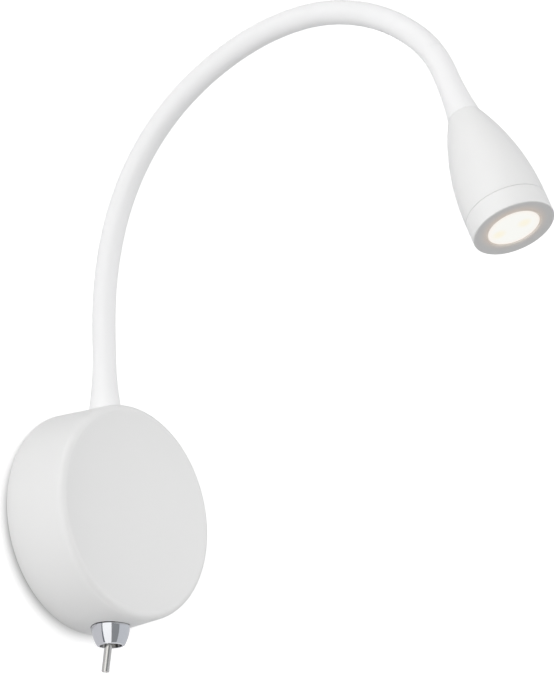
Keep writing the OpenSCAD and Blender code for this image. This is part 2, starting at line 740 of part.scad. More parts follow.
module front_ring() color(white) at_head() rotate_extrude() difference() {
    union() {
        translate([0, seam]) square([head_r, ring_len - ring_edge_r]);
        translate([0, seam]) square([head_r - ring_edge_r, ring_len]);
        translate([head_r - ring_edge_r, head_len - ring_edge_r]) circle(ring_edge_r);
        translate([0, board_u]) square([bore_r - fit, seam - board_u]);
    }
    translate([0, board_u - cut]) square([stack_d / 2, lens_u + lens_t - board_u + cut]);
    translate([0, seam]) square([opening_d / 2, ring_len + cut]);
    polygon([[opening_d / 2, head_len - mouth_edge], [opening_d / 2 + mouth_edge + cut, head_len + cut],
             [0, head_len + cut], [0, head_len - mouth_edge]]);
    polygon([[head_r - seam_groove, seam], [head_r + cut, seam + seam_groove + cut],
             [head_r + cut, seam - cut], [head_r - seam_groove, seam - cut]]);
}

module heat_sink() color(aluminium) at_board() difference() {
    union() {
        translate([0, 0, sink_u]) cylinder(r = nose_in_r(sink_u) - sink_gap, h = sink_flange_t);
        translate([0, 0, sink_fin_u]) cylinder(r = nose_in_r(sink_fin_u) - fin_gap, h = sink_fin_len);
    }
    for (k = [0:fin_slots - 1])
        translate([-head_r, (k - (fin_slots - 1) / 2) * fin_pitch - fin_slot / 2, sink_fin_u - cut])
            cube([head_d, fin_slot, sink_fin_len + cut]);
    translate([0, 0, sink_fin_u - cut]) cylinder(d = lead_d + 4 * fit, h = head_len);
    for (y = [-1, 1]) translate([0, y * board_screw_pitch / 2, sink_u - cut])
        cylinder(d = board_screw_d + 2 * fit, h = sink_flange_t + 2 * cut);
}

module led_board() color(white) at_board() translate([0, 0, board_u]) difference() {
    cylinder(d = lens_d, h = board_t);
    for (y = [-1, 1]) translate([0, y * board_screw_pitch / 2, -cut])
        cylinder(d = board_screw_d + 2 * fit, h = board_t + 2 * cut);
}

module led_chips() color(led_yellow) at_board()
    for (x = [-1, 1]) translate([x * led_pitch / 2, 0, reflector_u]) linear_extrude(led_h)
        rounded_rect(led_size, led_size, led_size / 8);

module board_screws() color(steel) at_board()
    for (y = [-1, 1]) translate([0, y * board_screw_pitch / 2, reflector_u])
        pan_screw(board_screw_d, board_t + sink_flange_t, board_head_d, board_head_h, driver_slot);

module reflector() color(white) at_head() rotate_extrude()
    polygon([[reflector_in_d / 2, reflector_u], [lens_d / 2, reflector_u], [lens_d / 2, seal_u],
             [lens_d / 2 - reflector_lip, seal_u]]);

module lens_seal() color(grey) at_head() translate([0, 0, seal_u]) tube(lens_d, lens_d - 2 * seal_w, seal_t);

module lens() color(glow) at_head() rotate_extrude()
    polygon([[0, lens_u], [lens_d / 2, lens_u], [lens_d / 2, lens_u + lens_t],
             [opening_d / 2 - fit, lens_u + lens_t],
             [opening_d / 2 - fit - lens_edge, lens_u + lens_t + lens_edge],
             [0, lens_u + lens_t + lens_edge]]);

housing();
back_plate();
cable_grommet();
retaining_screw();
terminal_block();
terminal_screws();
driver_case();
driver_lid();
driver_screws();
base_leads();
switch_body();
switch_contacts();
switch_bushing();
switch_washer();
switch_lock_nut();
switch_dress_nut();
switch_lever();
foot_ferrule();
foot_washer();
foot_nut();
sleeve_foot();
core_foot();
arm_leads();
for (k = LINKS) sleeve_link(k);
for (k = LINKS) core_link(k);
sleeve_end();
core_end();
head_ferrule();
head_shell();
front_ring();
heat_sink();
led_board();
led_chips();
board_screws();
reflector();
lens_seal();
lens();
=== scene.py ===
"""Wall reading light: its finishes, its base shell, dress nut and soft arm, and the studio.

Sizes are in metres. The wall is the plane Y = 0, the light stands out towards -Y, and +Z is up.
"""

import json
import math

import bmesh
import bpy
from mathutils import Matrix, Vector

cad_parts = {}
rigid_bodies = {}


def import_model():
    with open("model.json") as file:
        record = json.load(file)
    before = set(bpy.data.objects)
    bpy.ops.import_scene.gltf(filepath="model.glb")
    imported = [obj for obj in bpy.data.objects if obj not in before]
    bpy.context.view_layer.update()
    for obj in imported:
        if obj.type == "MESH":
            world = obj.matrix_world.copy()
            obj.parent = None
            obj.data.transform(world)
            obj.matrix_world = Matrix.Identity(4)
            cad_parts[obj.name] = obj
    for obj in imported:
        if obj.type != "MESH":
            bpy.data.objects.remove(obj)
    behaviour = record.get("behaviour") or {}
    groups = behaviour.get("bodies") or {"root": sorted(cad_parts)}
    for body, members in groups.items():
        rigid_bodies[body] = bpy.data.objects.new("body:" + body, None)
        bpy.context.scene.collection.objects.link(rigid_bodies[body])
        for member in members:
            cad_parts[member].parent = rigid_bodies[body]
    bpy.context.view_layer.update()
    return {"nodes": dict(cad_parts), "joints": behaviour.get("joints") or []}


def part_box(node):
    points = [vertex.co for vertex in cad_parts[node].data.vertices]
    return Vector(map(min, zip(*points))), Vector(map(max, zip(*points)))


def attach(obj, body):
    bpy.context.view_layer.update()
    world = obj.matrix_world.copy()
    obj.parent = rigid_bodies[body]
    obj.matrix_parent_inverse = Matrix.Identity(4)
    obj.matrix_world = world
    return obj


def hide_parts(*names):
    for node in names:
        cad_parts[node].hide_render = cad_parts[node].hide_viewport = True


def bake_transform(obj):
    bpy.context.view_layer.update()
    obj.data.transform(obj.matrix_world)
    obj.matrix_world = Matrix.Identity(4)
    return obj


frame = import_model()
NODES = frame["nodes"]
SCENE = bpy.context.scene
MM = 0.001

# The photograph's size, the pixel of the base's centre on the wall, and the scale there
PHOTO_SIZE = (554, 673)
CENTRE_PIXEL = (86.2, 524.2)
PIXELS_PER_METRE = 2798.2
# Where it was taken from: degrees round the base, above it and about the line of sight
VIEW_AZIMUTH = -51.04
VIEW_ELEVATION = -18.35
VIEW_ROLL = -2.09
VIEW_DISTANCE = 1.0
SENSOR = 36.0

# Arm: its joints and bodies, from the base to the head
ARM_JOINTS = [joint for joint in frame["joints"] if joint["name"].startswith("arm_")]
ARM_BODIES = [ARM_JOINTS[0]["parent"]] + [joint["child"] for joint in ARM_JOINTS]
LINK_COUNT = len(ARM_JOINTS) - 1
# Its straight end past the last joint, and the sleeve with its two flares
END_LEN = 19.5 * MM
FOOT_FLARE_LEN = 22 * MM
NECK_FLARE_LEN = 18.5 * MM
SLEEVE_WALL = 0.65 * MM
SLEEVE_SIDES = 48
SWEPT_SHARP_ANGLE = 40
# How finely its path is drawn, and the bend, in radians, below which a link is straight
STEPS_PER_LINK = 18
STRAIGHT_STEP = 1 * MM
LEAST_BEND = 1e-6
# Share of a stretch of the arm at each end; bend_with_arm works out these ends but does not use
# them
BLEND_REST = 0.06
# Leads: from the driver round a turn into the arm, and past its end to the LED board
LEAD_R = 1 * MM
LEAD_SIDES = 16
LEAD_START = Vector((-9.5, -10.1, 8)) * MM
LEAD_TURN_R = 2 * MM
LEAD_TURN_STEPS = 8
LEAD_TO_BOARD = 34.8 * MM

# Head, measured from the middle of the lens. Each pair is where a change of colour starts and ends:
# the edge of the lit part, the painted shade in the ring's mouth, the painted glow of the lens's
# light on the ring, and the painted shade on the ring's face
LIT_R = (8.8 * MM, 9.15 * MM)
MOUTH_R = (9.55 * MM, 9.75 * MM)
SPILL_GLOW_R = (8.5 * MM, 12.5 * MM)
FACE_AHEAD = (1.4 * MM, 1.75 * MM)
# The seam behind the ring, half the width of the painted shade line along it, and the radius of the
# patch over an LED
SEAM_BEHIND = 5.45 * MM
SEAM_REACH = 0.25 * MM
LED_PATCH_R = 3.4 * MM
# How far the lit part, the painted glow on the ring and the LED patches lie from the middle of the
# lens
LIT_SHIFT = Vector((0.36, 0.15, -0.09)) * MM
SPILL_GLOW_SHIFT = Vector((-0.9, -0.38, 0.22)) * MM
LED_SHIFT = Vector((0, 0.69, -0.4)) * MM
# Shares of the lit radius where its rim starts, and of the patch's radius where it starts to fade
RIM_START = 0.75
PATCH_FADE = 0.3
# Colours of the lens: its lit middle, its rim, an LED patch, its unlit edge, and the painted warm
# glow of its light on the ring
LENS_WHITE = (0.93, 0.93, 0.89)
LENS_RIM = (0.96, 0.91, 0.85)
LENS_PATCH = (0.95, 0.89, 0.72)
LENS_EDGE = (0.56, 0.51, 0.46)
LENS_SPILL_GLOW = (0.11, 0.047, 0.0)
LENS_STRENGTH = 0.9
LENS_BODY = (0.1, 0.1, 0.095, 1)
# Painted shade on the ring: along its seam groove, on its downward face and in its mouth
SEAM_SHADE_GREY = (0.66, 0.66, 0.66)
FACE_SHADE_GREY = (0.69, 0.685, 0.68)
MOUTH_SHADE_GREY = (0.6, 0.6, 0.595)
BLACK = (0, 0, 0)
# LED packages: from dark to light, and their glow
PHOSPHOR_DARK = (0.75, 0.6, 0.12)
PHOSPHOR_LIGHT = (0.85, 0.7, 0.2)
PHOSPHOR_GLOW = (1, 0.88, 0.55, 1)

# Paint of the base and the head
WHITE_PAINT = (0.87, 0.87, 0.865)
PAINT_IOR = 1.48
# Rubber of the sleeve, the wave of its rings in radians for a metre, and their share of its bump
WHITE_SILICONE = (0.93, 0.93, 0.933)
SILICONE_IOR = 1.41
RING_WAVE = 1400.0
RING_SHARE = 0.15
# Plated metal: how much its roughness changes, as a share of it, and how deep its streaks are
GLOSS_SPREAD = 0.3
STREAK_DEPTH = 0.02

# Base: its wall, the radius of its front, the round of its front edge, and the depth of its dish
BASE_WALL = 1.8 * MM
BASE_FRONT_R = 38.75 * MM
BASE_EDGE_R = 2.5 * MM
DISH_DEPTH = 2.2 * MM
# How much deeper the dish is drawn in its middle, and how flat its floor is
DISH_SINK = 1.3 * MM
DISH_POWER = 4
# How close to the dish a point counts as on it, and how close two points are joined
DISH_REACH = 0.3 * MM
DOUBLES_REACH = 0.001 * MM

# Dress nut of the switch: radii, depths below the base, and degrees from level
NUT_WASHER = 0.35 * MM
NUT_EDGE = 0.1 * MM
NUT_BAND = 0.9 * MM
NUT_SHOULDER_R = 5 * MM
NUT_SHOULDER = 7 * MM
NUT_BULGE = 0.35 * MM
NUT_BULGE_STEPS = 24
NUT_LIP_R = 0.7 * MM
NUT_LIP_ANGLES = (-29, -90)
NUT_LIP_STEPS = 8
NUT_MOUTH_R = 3.95 * MM
NUT_THROAT_R = 3.7 * MM
NUT_THROAT = 4.5 * MM
NUT_BORE_R = 3.1 * MM
NUT_THREAD = 3.2 * MM
NUT_SIDES = 128
NUT_SHARP_ANGLE = 30
# Where painted shade darkens its plating inside the bore, and that grey
NUT_BORE_SHADE_R = (3.9 * MM, 4.0 * MM)
BORE_SHADE_GREY = (0.5, 0.5, 0.5)

# Soft lights far away: degrees round the light, degrees up, and strength
LIGHTS = [
    (-90, 0, 2.92),
    (-60, 0, 3.17),
    (-30, 0, 0.86),
    (-45, -50, 0.22),
    (0, 50, 1.41),
    (30, 25, 1.56),
    (45, -50, 1.44),
    (60, 0, 2.69),
]
LIGHT_NARROWNESS = 14.0
WHITE = (1, 1, 1)
# Wall, open where the base covers it, and floor
WALL_R = 1.5
WALL_HOLE_R = 38.5 * MM
WALL_BEHIND = 0.3 * MM
WALL_GREY = (0.88, 0.88, 0.88)
FLOOR_HALF = 3.0
FLOOR_Z = -0.42
# How much of their own light the wall and the floor show the camera, and how bright it is
WALL_GLOW_SHARE = 0.3
FLOOR_GLOW_SHARE = 0.5
WALL_GLOW = 2.1
# Painted shadow where the base meets the wall, a little low and to the left
SHADOW_MIDDLE = Vector((-2.5, 0, -2.5)) * MM
SHADOW_R = 37 * MM
SHADOW_BLUR = 6 * MM
# White and cool grey that the shiny metal reflects
KEY_WHITE = (1.15, 1.15, 1.15)
COOL_GREY = (0.62, 0.635, 0.665)
# Screens that only shiny metal shows: from and to, in degrees round the light, and their colour
SCREEN_R = 0.8
SCREEN_TILTS = (-88, 65)
SCREEN_STEPS = 16
SCREENS = [
    ("screen_key", -90, -41, KEY_WHITE),
    ("screen_dark", -41, 7, (0.29, 0.3, 0.31)),
    ("screen_right", 7, 90, COOL_GREY),
]
# Cards on the wall that only shiny metal shows: radii, degrees round the wall, and colour
CARDS = [
    ("card_base", 0.0385, 0.075, 0, 360, (0.65, 0.65, 0.672)),
    ("card_edge", 0.075, 0.13, 150, 245, (0.15, 0.16, 0.18)),
    ("card_key", 0.13, 0.8, 150, 245, KEY_WHITE),
    ("card_low", 0.075, 0.8, 245, 300, KEY_WHITE),
    ("card_right", 0.075, 0.8, -60, 150, COOL_GREY),
]
RING_SIDES = 96


class Wire:
    """An output of a shader tree. Arithmetic on wires adds Math nodes to the tree."""

    def __init__(self, tree, socket=None):
        self.tree = tree
        self.socket = socket

    def node(self, kind, settings=None, sockets=None, output=0):
        """Adds a node: its settings, then its sockets' values or links. Gives one output."""
        made = self.tree.nodes.new(kind)
        for name, value in (settings or {}).items():
            setattr(made, name, value)
        for key, value in (sockets or {}).items():
            if isinstance(value, Wire):
                self.tree.links.new(value.socket, made.inputs[key])
            else:
                made.inputs[key].default_value = value
        return Wire(self.tree, made.outputs[output] if len(made.outputs) else None)

    def math(self, operation, first, second=0.0):
        return self.node("ShaderNodeMath", {"operation": operation}, {0: first, 1: second})

    def __add__(self, other):
        return self.math("ADD", self, other)

    def __sub__(self, other):
        return self.math("SUBTRACT", self, other)

    def __rsub__(self, other):
        return self.math("SUBTRACT", other, self)

    def __mul__(self, other):
        return self.math("MULTIPLY", self, other)

    def __truediv__(self, other):
        return self.math("DIVIDE", self, other)

    __radd__ = __add__
    __rmul__ = __mul__

    def at_least(self, low):
        return self.math("MAXIMUM", self, low)

    def between(self, low, high):
        """A number from low at 0 to high at 1."""
        return self * (high - low) + low

    def smooth(self, low, high):
        """0 below low, 1 above high, and a smooth step between them."""
        settings = {"interpolation_type": "SMOOTHSTEP"}
        sockets = {"Value": self, "From Min": low, "From Max": high}
        return self.node("ShaderNodeMapRange", settings, sockets)

    def to_colour(self, low, high):
        """A colour from low at 0 to high at 1, each of them a wire or three numbers."""
        low, high = (end if isinstance(end, Wire) else (*end, 1) for end in (low, high))
        sockets = {0: self, 6: low, 7: high}
        return self.node("ShaderNodeMix", {"data_type": "RGBA"}, sockets, output=2)

    def shades_of(self, colour, darkest):
        """A colour, from a share of its brightness at 0 to all of it at 1."""
        return self.to_colour([channel * darkest for channel in colour], colour)

    def away_from(self, point):
        """Distance of this wire, a place, from a point."""
        settings = {"operation": "DISTANCE"}
        return self.node("ShaderNodeVectorMath", settings, {0: self, 1: point}, "Value")

    def along(self, direction):
        """How far this wire, a place, lies along a direction."""
        settings = {"operation": "DOT_PRODUCT"}
        return self.node("ShaderNodeVectorMath", settings, {0: self, 1: direction}, "Value")

    def noise(self, place, scale, detail=2.0):
        sockets = {"Vector": place, "Scale": scale, "Detail": detail}
        return self.node("ShaderNodeTexNoise", None, sockets)

    def bump(self, strength, distance):
        """The normal of a surface whose height is this wire."""
        sockets = {"Height": self, "Strength": strength, "Distance": distance}
        return self.node("ShaderNodeBump", None, sockets)


def middle_of(node):
    """Middle of a node's box at rest."""
    low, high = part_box(node)
    return (low + high) / 2


def new_finish(name):
    """A new material, with its empty tree and the place of each point on the object."""
    material = bpy.data.materials.new(name)
    material.use_nodes = True
    material.node_tree.nodes.clear()
    tree = Wire(material.node_tree)
    place = tree.node("ShaderNodeTexCoord", output="Object")
    return material, tree, place


def finish_with(tree, **sockets):
    """Ends a material in one Principled shader."""
    named = {name.replace("_", " "): value for name, value in sockets.items()}
    shader = tree.node("ShaderNodeBsdfPrincipled", None, named)
    tree.node("ShaderNodeOutputMaterial", None, {"Surface": shader})


def satin_paint(name, colour, grain, by_lens=False):
    """Sprayed satin paint: a fine orange peel, and a little change of gloss and tone.

    By the lens it also has painted shade along the ring's seam, on its face and in its mouth, and a
    painted warm glow of the lens's light on the ring.
    """
    material, tree, place = new_finish(name)
    peel = tree.noise(place, grain, detail=3.0)
    cloud = tree.noise(place, scale=30.0)
    tone = cloud.shades_of(colour, darkest=0.975)
    glow = {}
    if by_lens:
        lens = middle_of("lens")
        forward = (lens - Vector(ARM_JOINTS[-1]["pos_m"])).normalized()
        ahead = place.along(forward) - lens.dot(forward)
        # Painted shade along the seam groove, on the ring's face and in its mouth, and painted glow
        # of the lens's light on the ring
        seam = tree.math("ABSOLUTE", ahead + SEAM_BEHIND)
        tone = seam.smooth(0.0, SEAM_REACH).to_colour(SEAM_SHADE_GREY, tone)
        tone = ahead.smooth(*FACE_AHEAD).to_colour(tone, FACE_SHADE_GREY)
        tone = place.away_from(lens).smooth(*MOUTH_R).to_colour(MOUTH_SHADE_GREY, tone)
        painted_spill = place.away_from(lens + SPILL_GLOW_SHIFT).smooth(*SPILL_GLOW_R).to_colour(LENS_SPILL_GLOW, BLACK)
        glow = {"Emission_Color": painted_spill, "Emission_Strength": 1.0}
    finish_with(
        tree,
        Base_Color=tone,
        Roughness=cloud.between(0.4, 0.48),
        Normal=peel.bump(strength=0.05, distance=0.1 * MM),
        IOR=PAINT_IOR,
        **glow,
    )
    return material


def silicone(name, colour):
    """Soft matt rubber: faint rings left by the extruder, and a little mottling."""
    material, tree, place = new_finish(name)
    along = tree.node("ShaderNodeAttribute", {"attribute_name": "along"}, output="Fac")
    rings = tree.math("SINE", along * RING_WAVE)
    mottle = tree.noise(place, scale=60.0, detail=3.0)
    grain = tree.noise(place, scale=1500.0)
    finish_with(
        tree,
        Base_Color=mottle.shades_of(colour, darkest=0.97),
        Roughness=mottle.between(0.48, 0.58),
        Normal=(grain + rings * RING_SHARE).bump(strength=0.06, distance=0.08 * MM),
        IOR=SILICONE_IOR,
    )
    return material


def plated(name, colour, roughness, streak, swirl=0.0, shaded_bore_of=None):
    """Plated or turned metal: fine streaks, slight clouds in its gloss, and painted shade in a
    nut's bore.
    """
    material, tree, place = new_finish(name)
    stretched = tree.node("ShaderNodeMapping", None, {"Vector": place, "Scale": streak})
    lines = tree.noise(stretched, scale=1.0)
    cloud = tree.noise(place, scale=120.0)
    tone = cloud.shades_of(colour, darkest=0.9)
    spread = roughness * GLOSS_SPREAD
    if shaded_bore_of:
        # Painted shade inside the nut's bore: the plating turns grey inwards of its mouth
        flat = tree.node("ShaderNodeMapping", None, {"Vector": place, "Scale": (1, 1, 0)})
        axis = middle_of(shaded_bore_of) * Vector((1, 1, 0))
        tone = flat.away_from(axis).smooth(*NUT_BORE_SHADE_R).to_colour(BORE_SHADE_GREY, tone)
    finish_with(
        tree,
        Base_Color=tone,
        Metallic=1.0,
        Roughness=((lines + cloud) / 2).between(roughness - spread, roughness + spread),
        Normal=lines.bump(strength=STREAK_DEPTH + swirl, distance=0.02 * MM),
    )
    return material


def spangled_zinc(name, colour):
    """Zinc-coated sheet, with its crystals."""
    material, tree, place = new_finish(name)
    sockets = {"Vector": place, "Scale": 260.0}
    crystals = tree.node("ShaderNodeTexVoronoi", None, sockets, output="Color")
    tone = tree.node("ShaderNodeSeparateColor", None, {"Color": crystals})
    finish_with(
        tree,
        Base_Color=tone.shades_of(colour, darkest=0.82),
        Metallic=1.0,
        Roughness=tone.between(0.3, 0.45),
        Normal=tree.noise(place, scale=900.0).bump(strength=0.04, distance=0.05 * MM),
    )
    return material


def moulded(name, colour, roughness, grain=900.0):
    """Moulded plastic or rubber with a spark-eroded grain."""
    material, tree, place = new_finish(name)
    pits = tree.noise(place, grain)
    cloud = tree.noise(place, scale=80.0)
    finish_with(
        tree,
        Base_Color=cloud.shades_of(colour, darkest=0.9),
        Roughness=cloud.between(roughness, roughness + 0.1),
        Normal=pits.bump(strength=0.12, distance=0.05 * MM),
    )
    return material


def led_places():
    """Middle of each LED package, moved along the head to the lens."""
    points = [vertex.co for vertex in NODES["led_chips"].data.vertices]
    middle = sum(points, Vector()) / len(points)
    far = max(points, key=lambda point: (point - middle).length) - middle
    to_lens = middle_of("lens") - middle
    places = []
    for side in (-1, 1):
        package = [point for point in points if (point - middle).dot(far) * side > 0]
        places.append(sum(package, Vector()) / len(package) + to_lens)
    return places


def lit_lens(name):
    """Frosted diffuser that glows: white, warm at its rim, with a patch over each LED."""
    material, tree, place = new_finish(name)
    out = place.away_from(middle_of("lens") + LIT_SHIFT)
    glow = (out / LIT_R[0]).smooth(RIM_START, 1.0).to_colour(LENS_WHITE, LENS_RIM)
    for led in led_places():
        away = place.away_from(led + LED_SHIFT) / LED_PATCH_R
        glow = (1 - away.smooth(PATCH_FADE, 1.0)).to_colour(glow, LENS_PATCH)
    glow = out.smooth(*LIT_R).to_colour(glow, LENS_EDGE)
    frost = tree.noise(place, scale=2500.0)
    finish_with(
        tree,
        Base_Color=LENS_BODY,
        Roughness=frost.between(0.45, 0.55),
        Emission_Color=glow,
        Emission_Strength=LENS_STRENGTH,
        Normal=frost.bump(strength=0.05, distance=0.05 * MM),
    )
    return material


def phosphor(name):
    """LED package: yellow phosphor that glows."""
    material, tree, place = new_finish(name)
    speck = tree.noise(place, scale=3000.0)
    finish_with(
        tree,
        Base_Color=speck.to_colour(PHOSPHOR_DARK, PHOSPHOR_LIGHT),
        Roughness=speck.between(0.4, 0.6),
        Emission_Color=PHOSPHOR_GLOW,
        Emission_Strength=1.0,
    )
    return material


# What makes each finish, and what that is given. Paint: colour, fineness of grain, and whether it
# has the painted shade and glow by the lens. Plated metal: colour, roughness, streaks across X, Y
# and Z, how much deeper they are, and the nut whose bore has painted shade. Moulded plastic:
# colour, roughness and fineness of grain
RECIPES = {
    "base_paint": (satin_paint, WHITE_PAINT, 1100.0),
    "head_paint": (satin_paint, WHITE_PAINT, 1400.0, True),
    "sleeve_silicone": (silicone, WHITE_SILICONE),
    "nut_chrome": (plated, (0.8, 0.81, 0.84), 0.08, (300, 300, 3000), 0.0, "switch_dress_nut"),
    "lever_nickel": (plated, (0.7, 0.69, 0.665), 0.2, (300, 300, 6000), 0.03),
    "switch_nickel": (plated, (0.68, 0.66, 0.62), 0.25, (300, 300, 6000), 0.03),
    "core_steel": (plated, (0.55, 0.55, 0.56), 0.35, (400, 2500, 2500), 0.05),
    "zinc_plate": (spangled_zinc, (0.62, 0.63, 0.66)),
    "zinc_screw": (plated, (0.62, 0.63, 0.65), 0.28, (2000, 300, 2000)),
    "zinc_washer": (spangled_zinc, (0.6, 0.61, 0.63)),
    "dark_screw": (plated, (0.2, 0.2, 0.21), 0.4, (2000, 300, 2000)),
    "screw_brass": (plated, (0.75, 0.58, 0.27), 0.25, (2000, 300, 2000)),
    "contact_brass": (plated, (0.74, 0.6, 0.32), 0.3, (300, 300, 4000)),
    "ferrule_brass": (plated, (0.76, 0.6, 0.3), 0.22, (300, 300, 6000), 0.04),
    "sink_aluminium": (plated, (0.75, 0.76, 0.78), 0.35, (3000, 300, 300), 0.05),
    "grommet_rubber": (moulded, (0.03, 0.03, 0.032), 0.65, 1500.0),
    "seal_rubber": (moulded, (0.35, 0.35, 0.36), 0.6, 1500.0),
    "terminal_plastic": (moulded, (0.78, 0.75, 0.66), 0.4),
    "driver_plastic": (moulded, (0.3, 0.3, 0.32), 0.5),
    "driver_lid_plastic": (moulded, (0.05, 0.05, 0.055), 0.45),
    "switch_plastic": (moulded, (0.04, 0.04, 0.045), 0.4),
    "board_white": (moulded, (0.82, 0.82, 0.8), 0.3, 2000.0),
    "reflector_white": (moulded, (0.86, 0.86, 0.85), 0.25, 2500.0),
    "wire_red": (moulded, (0.5, 0.04, 0.035), 0.38, 1500.0),
    "wire_white": (moulded, (0.8, 0.8, 0.78), 0.4, 1500.0),
    "led_phosphor": (phosphor,),
    "lens_frosted": (lit_lens,),
}
FINISHES = {name: make(name, *given) for name, (make, *given) in RECIPES.items()}
NODE_FINISHES = {
    "base_paint": ["housing"],
    "head_paint": ["head_shell", "front_ring"],
    "zinc_plate": ["back_plate"],
    "zinc_screw": ["driver_screws", "board_screws"],
    "zinc_washer": ["switch_washer", "foot_washer", "switch_lock_nut"],
    "dark_screw": ["retaining_screw"],
    "grommet_rubber": ["cable_grommet"],
    "seal_rubber": ["lens_seal"],
    "core_steel": ["core_foot", "core_end"] + [f"core_{k + 1}" for k in range(LINK_COUNT)],
    "terminal_plastic": ["terminal_block"],
    "driver_plastic": ["driver_case"],
    "driver_lid_plastic": ["driver_lid"],
    "switch_plastic": ["switch_body"],
    "screw_brass": ["terminal_screws"],
    "contact_brass": ["switch_contacts"],
    "ferrule_brass": ["foot_ferrule", "foot_nut", "head_ferrule"],
    "switch_nickel": ["switch_bushing"],
    "nut_chrome": ["switch_dress_nut"],
    "lever_nickel": ["switch_lever"],
    "sink_aluminium": ["heat_sink"],
    "board_white": ["led_board"],
    "led_phosphor": ["led_chips"],
    "reflector_white": ["reflector"],
    "lens_frosted": ["lens"],
    "wire_red": ["base_leads"],
}


def paint_nodes():
    """Gives each CAD node its finish."""
    for slot, names in NODE_FINISHES.items():
        for name in names:
            mesh = NODES[name].data
            mesh.materials.clear()
            mesh.materials.append(FINISHES[slot])


def along_heading(angle):
    """Direction of the arm at an angle from straight up, leaning towards -Y."""
    return Vector((0, -math.sin(angle), math.cos(angle)))


def arc_point(start, heading, bend, chord, share):
    """Point at a share of an arc that starts at a heading and turns by a bend."""
    if abs(bend) < LEAST_BEND:
        return start + along_heading(heading) * chord * share
    radius = chord / (2 * math.sin(bend / 2))
    part = bend * share
    return start + along_heading(heading + part / 2) * (2 * radius * math.sin(part / 2))


def arm_path():
    """Points of the arm's middle line from base to head, and the index of each link's middle."""
    stations = [Vector(joint["pos_m"]) for joint in ARM_JOINTS]
    foot = Vector((0, stations[0].y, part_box("sleeve_foot")[0].z))
    steps = round((stations[0] - foot).length / STRAIGHT_STEP)
    points = [foot.lerp(stations[0], step / steps) for step in range(steps)]
    middles = []
    heading = 0.0
    for start, end in zip(stations, stations[1:]):
        chord = end - start
        bend = 2 * (math.atan2(-chord.y, chord.z) - heading)
        middles.append(len(points) + STEPS_PER_LINK // 2)
        points += [
            arc_point(start, heading, bend, chord.length, step / STEPS_PER_LINK)
            for step in range(STEPS_PER_LINK)
        ]
        heading += bend
    steps = round(END_LEN / STRAIGHT_STEP)
    tip = stations[-1] + along_heading(heading) * END_LEN
    points += [stations[-1].lerp(tip, step / steps) for step in range(steps + 1)]
    return points, middles


def lengths_along(points):
    """Length of the path from its start to each of its points."""
    lengths = [0.0]
    for here, there in zip(points, points[1:]):
        lengths.append(lengths[-1] + (there - here).length)
    return lengths


def flare(distance, length, rise):
    """How far a flare stands proud at a distance from its wide end: an arc along the sleeve."""
    if distance >= length:
        return 0.0
    radius = (rise * rise + length * length) / (2 * rise)
    return radius - math.sqrt(radius * radius - (length - distance) ** 2)


def sweep_tree():
    """Geometry nodes that carry a round section along a path, as wide as the path's girth."""
    tree = bpy.data.node_groups.new("round_sweep", "GeometryNodeTree")
    socket = tree.interface.new_socket
    socket("Path", in_out="INPUT", socket_type="NodeSocketGeometry")
    socket("Sides", in_out="INPUT", socket_type="NodeSocketInt")
    socket("Closed ends", in_out="INPUT", socket_type="NodeSocketBool")
    socket("Finish", in_out="INPUT", socket_type="NodeSocketMaterial")
    socket("Swept", in_out="OUTPUT", socket_type="NodeSocketGeometry")
    new, link = tree.nodes.new, tree.links.new
    given = new("NodeGroupInput")
    curve = new("GeometryNodeMeshToCurve")
    girth = new("GeometryNodeInputNamedAttribute")
    girth.data_type = "FLOAT"
    girth.inputs["Name"].default_value = "girth"
    section = new("GeometryNodeCurvePrimitiveCircle")
    section.inputs["Radius"].default_value = 1.0
    sweep = new("GeometryNodeCurveToMesh")
    realize = new("GeometryNodeRealizeInstances")
    cover = new("GeometryNodeSetMaterial")
    result = new("NodeGroupOutput")
    link(given.outputs["Path"], curve.inputs["Mesh"])
    link(given.outputs["Sides"], section.inputs["Resolution"])
    link(curve.outputs["Curve"], sweep.inputs["Curve"])
    link(section.outputs["Curve"], sweep.inputs["Profile Curve"])
    link(girth.outputs["Attribute"], sweep.inputs["Scale"])
    link(given.outputs["Closed ends"], sweep.inputs["Fill Caps"])
    link(sweep.outputs["Mesh"], realize.inputs["Geometry"])
    link(realize.outputs["Geometry"], cover.inputs["Geometry"])
    link(given.outputs["Finish"], cover.inputs["Material"])
    link(cover.outputs["Geometry"], result.inputs["Swept"])
    return tree


SWEEP = sweep_tree()
SWEEP_SOCKETS = {item.name: item.identifier for item in SWEEP.interface.items_tree}


def add_object(name, mesh):
    """A new object at the origin."""
    made = bpy.data.objects.new(name, mesh)
    SCENE.collection.objects.link(made)
    return made


def shade(mesh, sharp_angle):
    """Smooth faces, with edges sharper than an angle left sharp."""
    mesh.polygons.foreach_set("use_smooth", [True] * len(mesh.polygons))
    mesh.set_sharp_from_angle(angle=math.radians(sharp_angle))


